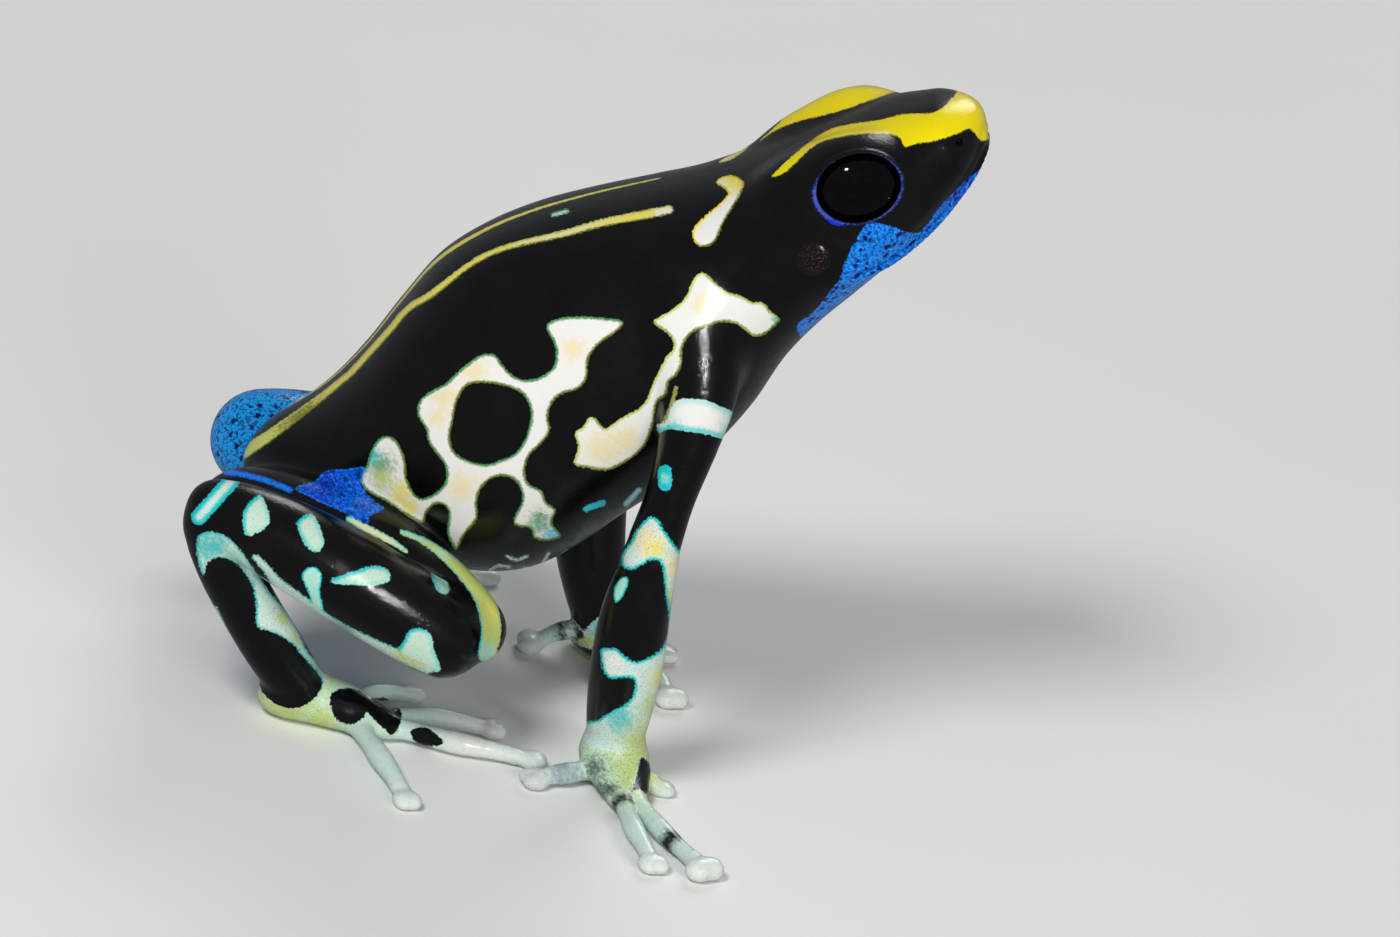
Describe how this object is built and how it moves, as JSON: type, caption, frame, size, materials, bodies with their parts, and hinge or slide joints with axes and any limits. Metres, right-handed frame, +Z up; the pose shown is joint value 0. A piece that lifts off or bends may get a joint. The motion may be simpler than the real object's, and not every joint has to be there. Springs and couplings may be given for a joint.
{
  "type": "dyeing poison dart frog",
  "caption": "Still, life-size model of a glossy black dart frog sitting up on straight arms, with yellow, white and turquoise markings and blue throat and thighs",
  "frame": {"origin": "on the floor, under the middle of the frog's bounding box", "axes": "+X the way the frog faces, -Y its right side, +Z up from the floor it sits on"},
  "size_m": [0.038, 0.0372, 0.0394],
  "materials": {
    "skin_black": "moist glossy skin, black with yellow, cream white and turquoise markings",
    "skin_blue": "moist glossy skin, deep blue with black dots, black outside",
    "skin_mint": "moist glossy skin, pale mint grey with fine dark specks",
    "eye": "wet polished black eye"
  },
  "bodies": {
    "root": {"torso": "skin_black", "head": "skin_black", "eye_right": "eye", "upper_arm_right": "skin_black", "forearm_right": "skin_black", "shank_right": "skin_black", "tarsus_right": "skin_black", "thigh_right": "skin_blue", "hand_right": "skin_mint", "foot_right": "skin_mint", "finger_1_right": "skin_mint", "finger_2_right": "skin_mint", "finger_3_right": "skin_mint", "finger_4_right": "skin_mint", "toe_1_right": "skin_mint", "toe_2_right": "skin_mint", "toe_3_right": "skin_mint", "toe_4_right": "skin_mint", "toe_5_right": "skin_mint", "eye_left": "eye", "upper_arm_left": "skin_black", "forearm_left": "skin_black", "shank_left": "skin_black", "tarsus_left": "skin_black", "thigh_left": "skin_blue", "hand_left": "skin_mint", "foot_left": "skin_mint", "finger_1_left": "skin_mint", "finger_2_left": "skin_mint", "finger_3_left": "skin_mint", "finger_4_left": "skin_mint", "toe_1_left": "skin_mint", "toe_2_left": "skin_mint", "toe_3_left": "skin_mint", "toe_4_left": "skin_mint", "toe_5_left": "skin_mint"}
  },
  "joints": []
}
